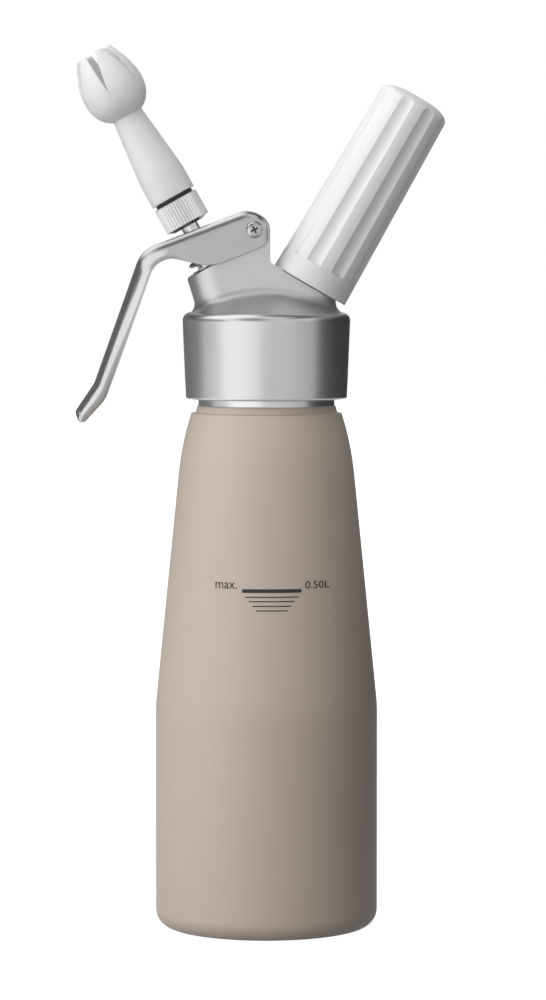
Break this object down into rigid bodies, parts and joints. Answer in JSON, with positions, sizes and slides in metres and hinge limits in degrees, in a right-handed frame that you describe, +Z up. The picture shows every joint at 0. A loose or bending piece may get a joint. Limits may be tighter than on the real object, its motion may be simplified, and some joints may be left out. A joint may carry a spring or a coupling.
{
  "type": "whipped cream dispenser",
  "caption": "Hand-held cream whipper: lacquered bottle with a cast screw-on head, squeeze lever over a spring-closed valve, slotted tulip nozzle and fluted charger holder.",
  "frame": {"origin": "centre of the bottle's standing ring, on the surface it stands on", "axes": "+Z up along the bottle, +X towards the charger holder, -X towards the lever and nozzle, +Y to the back"},
  "size_m": [0.1291, 0.078, 0.3098],
  "materials": {
    "lacquered_bottle": "matte taupe lacquer on aluminium",
    "satin_aluminium": "fine bead-blasted satin",
    "grip_metal": "bright turned and grooved",
    "steel": "turned stainless",
    "spring_steel": "drawn spring wire",
    "charger_steel": "plain bright steel",
    "brass": "turned brass",
    "white_plastic": "satin moulded white",
    "black_rubber": "smooth nitrile",
    "silicone": "translucent grey silicone"
  },
  "bodies": {
    "bottle": {"bottle": "lacquered_bottle"},
    "head": {"head_casting": "satin_aluminium", "head_gasket": "silicone", "valve_gland": "steel", "gland_o_ring": "black_rubber", "pivot_screw": "steel", "pivot_nut": "steel", "charger_nipple": "satin_aluminium", "piercing_pin": "steel", "charger_seal": "black_rubber", "check_valve_sleeve": "silicone", "return_spring": "spring_steel"},
    "lever": {"lever": "satin_aluminium"},
    "valve": {"valve_stem": "steel", "valve_seal": "black_rubber", "seal_nut": "brass"},
    "adapter": {"nozzle_adapter": "grip_metal", "nozzle_o_ring": "black_rubber"},
    "nozzle": {"decorating_nozzle": "white_plastic"},
    "holder": {"charger_holder": "white_plastic", "holder_insert": "steel", "holder_pad": "silicone", "gas_charger": "charger_steel"}
  },
  "joints": [
    {"name": "head_lift", "type": "slide", "parent": "bottle", "child": "head", "axis": [0, 0, 1], "range_m": [0, 0.06]},
    {"name": "lever_press", "type": "hinge", "parent": "head", "child": "lever", "pos_m": [-0.0041, 0, 0.24535], "axis": [0, -1, 0], "range_deg": [0, 8], "stiffness_Nm_per_rad": 1.2, "springref_deg": -14.32},
    {"name": "valve_press", "type": "slide", "parent": "head", "child": "valve", "axis": [0.4894, 0, -0.8721], "range_m": [0, 0.0027], "deforming": ["return_spring"]},
    {"name": "adapter_off", "type": "slide", "parent": "valve", "child": "adapter", "axis": [-0.4894, 0, 0.8721], "range_m": [0, 0.02]},
    {"name": "nozzle_off", "type": "slide", "parent": "adapter", "child": "nozzle", "axis": [-0.4894, 0, 0.8721], "range_m": [0, 0.03]},
    {"name": "holder_off", "type": "slide", "parent": "head", "child": "holder", "axis": [0.5, 0, 0.866], "range_m": [0, 0.08]}
  ],
  "couplings": [
    {"joint": "valve_press", "follows": "lever_press", "m_per_rad": 0.019247}
  ]
}
